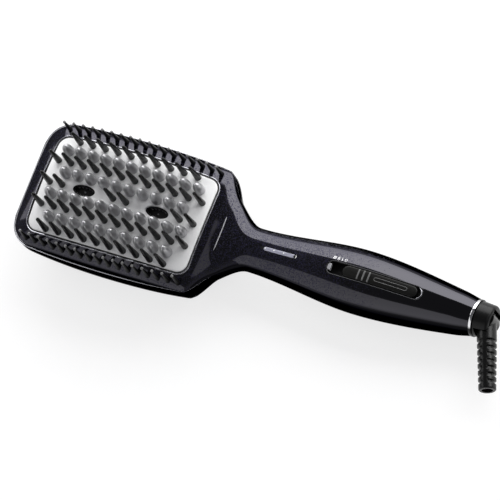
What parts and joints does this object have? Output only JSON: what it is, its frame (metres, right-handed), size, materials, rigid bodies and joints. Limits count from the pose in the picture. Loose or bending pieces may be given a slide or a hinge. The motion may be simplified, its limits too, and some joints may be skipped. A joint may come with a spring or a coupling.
{
  "type": "heated straightening brush",
  "caption": "Paddle-shaped heated hair straightening brush: bristle rows and heated domes on an arched plate, ion outlets, thumb slide switch and swivelling cord strain relief.",
  "frame": {"origin": "on the flat back of the head, under the middle of the heating plate", "axes": "+X along the handle towards the cord, +Y across the brush, +Z from the back of the head towards the bristle tips"},
  "size_m": [0.3006, 0.0796, 0.0533],
  "materials": {
    "shell_gloss": "high gloss with fine sparkle",
    "plate_metal": "satin",
    "dome_metal": "satin",
    "gasket": "matte",
    "bristle": "matte",
    "side_bristle": "satin, pale ball tips",
    "ion_insert": "satin",
    "steel": "plain",
    "tray": "matte",
    "heater_metal": "plain",
    "mica": "matte",
    "ceramic": "matte",
    "module": "matte",
    "board": "satin",
    "led": "clear",
    "light_pipe": "translucent",
    "bezel": "gloss",
    "slider": "satin",
    "switch_plastic": "matte",
    "capacitor": "satin",
    "chrome_ring": "mirror",
    "hood": "satin",
    "contact_brass": "plain",
    "strain_relief": "satin",
    "wire_white": "satin",
    "wire_red": "satin",
    "wire_brown": "satin"
  },
  "bodies": {
    "body": {"board_screws": "steel", "bristle_row_1": "bristle", "bristle_row_2": "bristle", "bristle_row_3": "bristle", "bristle_row_4": "bristle", "bristle_row_5": "bristle", "chrome_ring": "chrome_ring", "contact_springs": "contact_brass", "control_board": "board", "dome_row_1": "dome_metal", "dome_row_2": "dome_metal", "dome_row_3": "dome_metal", "dome_row_4": "dome_metal", "filter_capacitor": "capacitor", "front_shell": "shell_gloss", "heat_shield": "heater_metal", "heater_insulators": "mica", "heater_left": "heater_metal", "heater_right": "heater_metal", "heater_springs": "steel", "heater_wires": "wire_white", "heating_plate": "plate_metal", "indicator_leds": "led", "inner_tray": "tray", "ion_needles": "steel", "ion_outlet_neck": "ion_insert", "ion_outlet_tip": "ion_insert", "ion_wires": "wire_red", "ioniser_module": "module", "light_pipe": "light_pipe", "mains_wires": "wire_brown", "plate_gasket": "gasket", "plate_screws": "steel", "rear_shell": "shell_gloss", "shell_screws": "steel", "side_bristles_left": "side_bristle", "side_bristles_right": "side_bristle", "switch_bezel": "bezel", "switch_body": "switch_plastic", "thermal_fuse": "ceramic", "thermistor": "ceramic", "tray_screws": "steel", "triac": "module"},
    "thumb_slide": {"thumb_slider": "slider", "slider_carriage": "switch_plastic", "switch_lever": "switch_plastic"},
    "swivel": {"swivel_hood": "hood", "contact_barrel": "ceramic", "slip_rings": "contact_brass"},
    "strain_relief": {"strain_relief": "strain_relief"}
  },
  "joints": [
    {"name": "thumb_slide", "type": "slide", "parent": "body", "child": "thumb_slide", "axis": [-1, 0, 0], "range_m": [0, 0.0069]},
    {"name": "cord_swivel", "type": "hinge", "parent": "body", "child": "swivel", "pos_m": [0.2148, 0, 0.013], "axis": [1, 0, 0], "continuous": true},
    {"name": "relief_tilt", "type": "hinge", "parent": "swivel", "child": "strain_relief", "pos_m": [0.2212, 0, 0.013], "axis": [0, 0, 1], "range_deg": [0, 67.5]}
  ]
}
